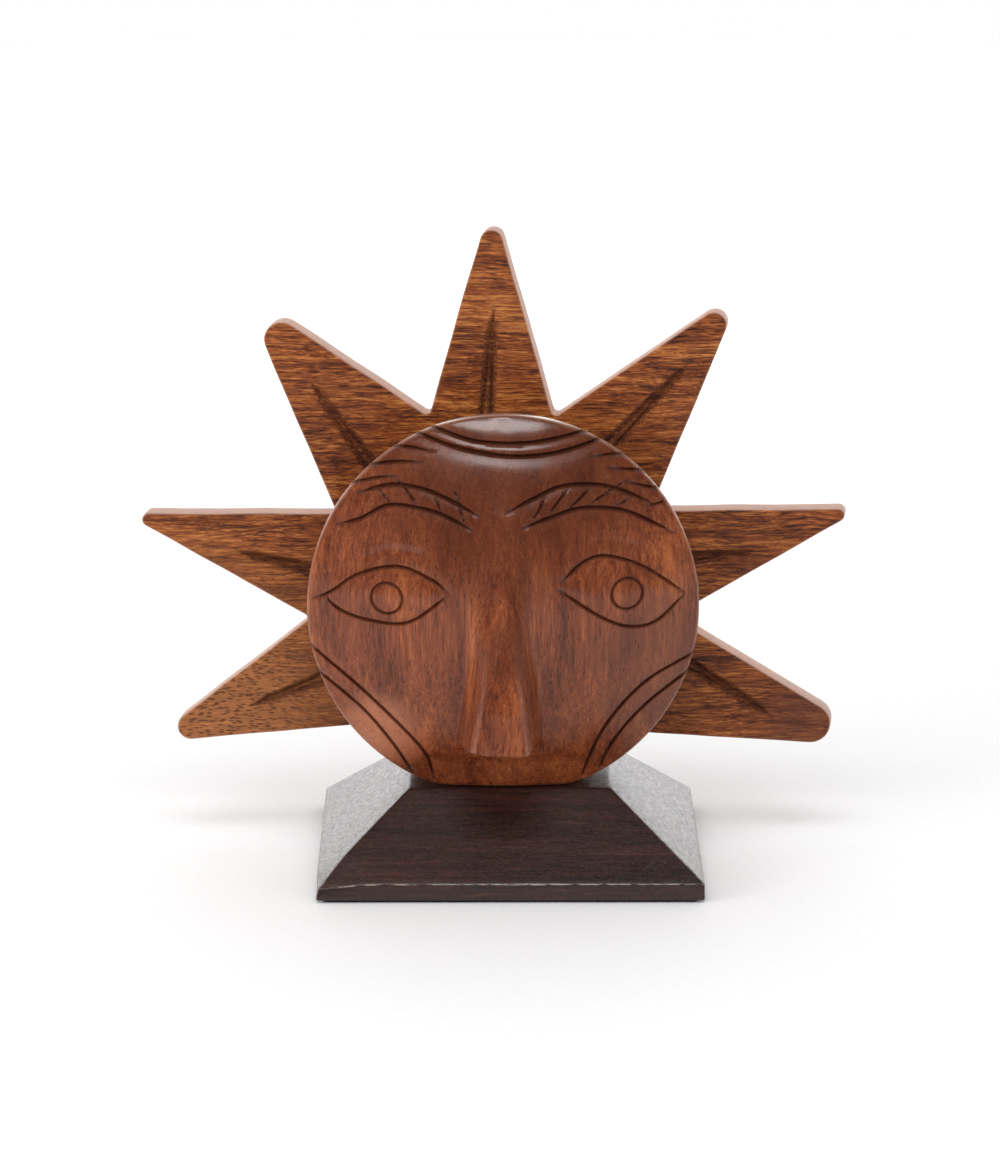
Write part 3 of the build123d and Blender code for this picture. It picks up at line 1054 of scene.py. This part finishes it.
def wood(name, axis, colours, layers, pore, spread=0.11, shift=(0, 0, 0), rough=0.38, gloss=0.2,
         sway=0.5, sway_size=9.0, pore_size=(3.0, 0.4), pore_share=1.0, cut_stain_and_shade=0.7, veins=None,
         worn=None, sawn_and_sheen=None, sawn_and_sheen_share=0.6, patches=(), tooth=0.0, shine=None):
    """Lacquered wood: streaks from dark to light, veins, patches, fibres and pores.

    A layer of streaks is (length, width, weight). Veins are thin dark lines, as (length, width,
    share). A patch is a place of another colour, as (centre, radius, colour, share, share of
    short dark flecks). The pore colour is also that of veins and flecks, and of cuts, where it is
    partly dark stain and partly painted shade. The sawn sides get a paler colour, partly the sawn
    wood and partly a painted reflection of the white surroundings, and worn edges get the worn
    colour. The tooth is the height of a fine roughness, and the shine a polished place, as
    (centre, radius). Lengths are in millimetres.
    """
    s = Shader(name)
    grain = Grain(s, axis, shift, sway, sway_size)
    colour = streaks(s, grain, colours, layers, spread)
    if veins:
        colour = s.mix(vein_places(s, grain, *veins), colour, pore)
    for centre, radius, tint, share, fleck_share in patches:
        near = s.near(centre, radius)
        colour = s.mix(s.times(near, share), colour, tint)
        if fleck_share:
            flecks = s.between(s.cells(grain.scaled(*fleck_size)), *fleck_limits, fleck_share, 0.0)
            colour = s.mix(s.times(flecks, near), colour, pore)
    fibres = s.noise(grain.scaled(*fibre_size), 3.0, 0.6)
    pores = pore_places(s, grain, pore_size, pore_share)
    colour = s.mix(pores, colour, pore)
    # the sawn sides are paler: partly the sawn wood, partly a painted reflection of the white
    # surroundings
    if sawn_and_sheen:
        streaky = s.between(fibres, 0.3, 0.7, sawn_and_sheen_share - 0.25, sawn_and_sheen_share + 0.15)
        colour = s.mix(s.times(s.attribute("side"), streaky), colour, sawn_and_sheen)
    # cuts are darkened towards the pore colour: partly dark stain, partly painted shade in the hollows
    colour = s.mix(s.times(s.attribute("cut"), cut_stain_and_shade), colour, pore)
    if worn:
        rubbed = s.between(s.noise(grain.scaled(*worn_size), 2.0), *worn_limits)
        colour = s.mix(s.times(s.attribute("worn"), rubbed), colour, worn)
    s.set(Base_Color=colour, Specular_IOR_Level=gloss)
    s.set(Roughness=wood_roughness(s, grain, fibres, pores, rough, tooth))
    normal = s.bump(fibres, fibre_bump)
    if tooth:
        normal = s.bump(s.noise(grain.scaled(*tooth_size), 3.0, 0.6), tooth, normal)
    s.set(Normal=s.bump(s.math("SUBTRACT", 1.0, pores), pore_bump, normal))
    if shine:
        uncut = s.math("SUBTRACT", 1.0, s.attribute("cut"))
        s.set(Coat_Weight=s.times(s.near(*shine), uncut), Coat_Roughness=coat_roughness)
    return s.material


def felt():
    """Dark felt: matted short fibres."""
    s = Shader("felt_cloth")
    fuzz = s.place_noise((4000.0,) * 3, 4.0, 0.7)
    clumps = s.place_noise((600.0,) * 3, 2.0)
    colour = s.ramp(fuzz, (0.35, tone(18, 14, 13)), (0.65, tone(44, 36, 33)))
    s.set(Base_Color=colour, Roughness=s.between(clumps, 0.3, 0.7, 0.85, 1.0))
    s.set(Sheen_Weight=0.4, Sheen_Roughness=0.5, Specular_IOR_Level=0.2)
    s.set(Normal=s.bump(fuzz, 0.12))
    return s.material


def zinc():
    """Bright zinc plating on steel, faintly turned and spotted."""
    s = Shader("zinc_plate")
    lines = s.place_noise((9000.0, 9000.0, 900.0), 2.0)
    spots = s.place_noise((900.0,) * 3, 3.0)
    s.set(Base_Color=s.ramp(spots, (0.35, tone(158, 160, 158)), (0.7, tone(205, 205, 198))))
    s.set(Metallic=1.0, Roughness=s.between(lines, 0.3, 0.7, 0.24, 0.42))
    s.set(Normal=s.bump(lines, 0.01))
    return s.material


# ---- studio


def make_floor():
    """A pale floor with a fine, barely visible tooth."""
    work = bmesh.new()
    bmesh.ops.create_circle(work, cap_ends=True, segments=96, radius=floor_radius)
    floor = show(baked(work, "floor"), 30)
    s = Shader("floor_paint")
    tooth = s.place_noise((700.0,) * 3, 2.0)
    s.set(Base_Color=s.ramp(tooth, (0.3, (0.93, 0.93, 0.93, 1)), (0.7, (0.96, 0.96, 0.96, 1))))
    s.set(Roughness=0.7, Specular_IOR_Level=0.2)
    s.set(Normal=s.bump(tooth, 0.02))
    floor.data.materials.append(s.material)


def make_light(name, place, target, size, power, spread, mirrored):
    """A soft light that looks at a target and shines within the spread."""
    data = bpy.data.lights.new(name, "AREA")
    data.shape = "RECTANGLE"
    data.size, data.size_y = size
    data.energy = power
    data.spread = math.radians(spread)
    lamp = linked(name, data)
    lamp.location = place
    lamp.visible_glossy = mirrored
    lamp.rotation_mode = "QUATERNION"
    lamp.rotation_quaternion = (Vector(target) - Vector(place)).to_track_quat("-Z", "Y")


def make_world():
    """A white studio whose reflections are bright behind the object and dim behind the viewer."""
    world = bpy.data.worlds.new("studio")
    bpy.context.scene.world = world
    s = Shader("studio", world)
    direction = s.add("ShaderNodeTexCoord").outputs["Generated"]
    backward = s.add("ShaderNodeSeparateXYZ", {0: direction}).outputs[1]
    strength = s.between(backward, *world_change, world_front, world_back)
    ray = s.add("ShaderNodeLightPath")
    for kind, value in (("Is Diffuse Ray", world_soft), ("Is Camera Ray", 1.0)):
        inputs = {0: ray.outputs[kind], 2: strength, 3: value}
        strength = s.add("ShaderNodeMix", inputs, data_type="FLOAT").outputs[0]
    s.set(Strength=strength, Color=(1, 1, 1, 1))


def make_camera():
    """A long lens at the front, a little above the object."""
    data = bpy.data.cameras.new("camera")
    data.lens = camera_lens
    data.sensor_width = 36
    data.clip_start = 0.01
    data.clip_end = 20
    camera = linked("camera", data)
    azimuth, elevation = math.radians(camera_azimuth), math.radians(camera_elevation)
    flat = math.cos(elevation)
    back = Vector((math.sin(azimuth) * flat, -math.cos(azimuth) * flat, math.sin(elevation)))
    target = Vector(camera_target)
    camera.location = target + back * camera_distance
    camera.rotation_mode = "QUATERNION"
    camera.rotation_quaternion = (-back).to_track_quat("-Z", "Y")
    bpy.context.scene.camera = camera


# ---- the scene


bpy.context.scene.view_settings.view_transform = "Standard"
make_camera()
make_world()
make_floor()
for light in lights:
    make_light(*light)

# streaks of wood as (length, width, weight)
plain_layers = ((60.0, 5.0, 0.4), (12.0, 0.9, 0.25), (6.0, 0.35, 0.2), (2.5, 0.13, 0.15))

face_wood = wood(
    "face_hardwood", "Z",
    [tone(64, 26, 12), tone(104, 48, 24), tone(127, 64, 34), tone(158, 86, 44)],
    ((60.0, 5.0, 0.34), (18.0, 0.8, 0.22), (7.0, 0.32, 0.24), (2.5, 0.13, 0.20)),
    tone(40, 18, 10), rough=0.25, gloss=0.4, pore_size=(4.5, 0.3), shift=(3, 5, 1),
    # the rim's pale colour is partly sawn wood and partly a painted reflection
    sawn_and_sheen=tone(160, 112, 88), shine=((-2.0, -15, 85), 13.5),
    patches=[
        # darker over the forehead: partly the wood's own darker tone, partly painted shade of the
        # upturned forehead
        ((-1.2, -15, 76), 34, tone(78, 34, 16), 0.7, 0.0),
        # painted shade on the right cheek, on the side away from the stronger left light
        ((26, -18, 40), 16, tone(88, 46, 32), 0.5, 0.0),
        # darker on the middle of the nose
        ((-1, -32, 45), 8, tone(88, 42, 24), 0.5, 0.0),
        # painted light on the lower left of the face, where the stronger left light falls
        ((-24, -20, 26), 11, tone(176, 110, 78), 0.7, 0.0),
    ],
)
ray_wood = wood(
    "ray_hardwood", "X",
    [tone(52, 25, 16), tone(108, 53, 26), tone(146, 80, 38), tone(184, 118, 62)],
    ((60.0, 4.0, 0.22), (11.0, 0.7, 0.24), (4.0, 0.28, 0.30), (1.6, 0.13, 0.24)),
    tone(54, 25, 16), sway=1.0, sway_size=14.0, veins=(18.0, 0.8, 0.75), pore_size=(2.0, 0.28),
    # pale sawn sides: partly sawn wood, partly painted reflection; darkened cuts: partly stain, partly
    # painted shade
    pore_share=0.95, shift=(40, 2, 7), sawn_and_sheen=tone(204, 170, 154), sawn_and_sheen_share=0.75, cut_stain_and_shade=0.64,
    spread=0.095,
    patches=[
        ((-64, 6, 20), 44, tone(166, 108, 66), 0.6, 0.7),
        ((62, 6, 18), 24, tone(86, 48, 38), 0.6, 0.0),
    ],
)
base_wood = wood(
    "base_hardwood", "X",
    [tone(26, 15, 14), tone(42, 25, 22), tone(50, 29, 24), tone(70, 38, 29)],
    ((60.0, 4.0, 0.3), (14.0, 0.8, 0.3), (6.0, 0.35, 0.25), (2.5, 0.13, 0.15)),
    tone(100, 68, 56), rough=0.3, gloss=0.5, pore_size=(1.2, 0.25), pore_share=0.5, shift=(9, 60, 3),
    worn=tone(160, 150, 140), tooth=0.05,
)
plain_wood = wood(
    "spacer_wood", "Z",
    [tone(104, 64, 40), tone(136, 88, 56), tone(156, 104, 66)],
    plain_layers, tone(80, 48, 32), rough=0.5, shift=(80, 2, 7),
)
plug_wood = wood(
    "plug_wood", "Y",
    [tone(84, 46, 28), tone(118, 66, 40), tone(142, 86, 54)],
    plain_layers, tone(60, 34, 24), shift=(120, 2, 7),
)
dowel_wood = wood(
    "dowel_wood", "Y",
    [tone(180, 142, 104), tone(202, 166, 126), tone(216, 184, 144)],
    plain_layers, tone(160, 120, 84), rough=0.6, shift=(160, 2, 7),
)

pieces = [
    (make_face(), face_wood, "face_disc", "red_hardwood"),
    (make_sun(), ray_wood, "sun_panel", "streaked_hardwood"),
    (make_base(), base_wood, "base_block", "dark_hardwood"),
    (make_spacer(), plain_wood, "spacer_block", "plain_wood"),
]
for piece, material, node, slot in pieces:
    piece.data.materials.clear()
    piece.data.materials.append(material)
    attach(piece, "root")
    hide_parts(node)

zinc_plate = zinc()
kept_nodes = {
    "base_felt": felt(),
    "base_screws": zinc_plate,
    "panel_screws": zinc_plate,
    "screw_plugs": plug_wood,
    "face_dowels": dowel_wood,
}
for node, material in kept_nodes.items():
    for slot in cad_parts[node].material_slots:
        slot.material = material
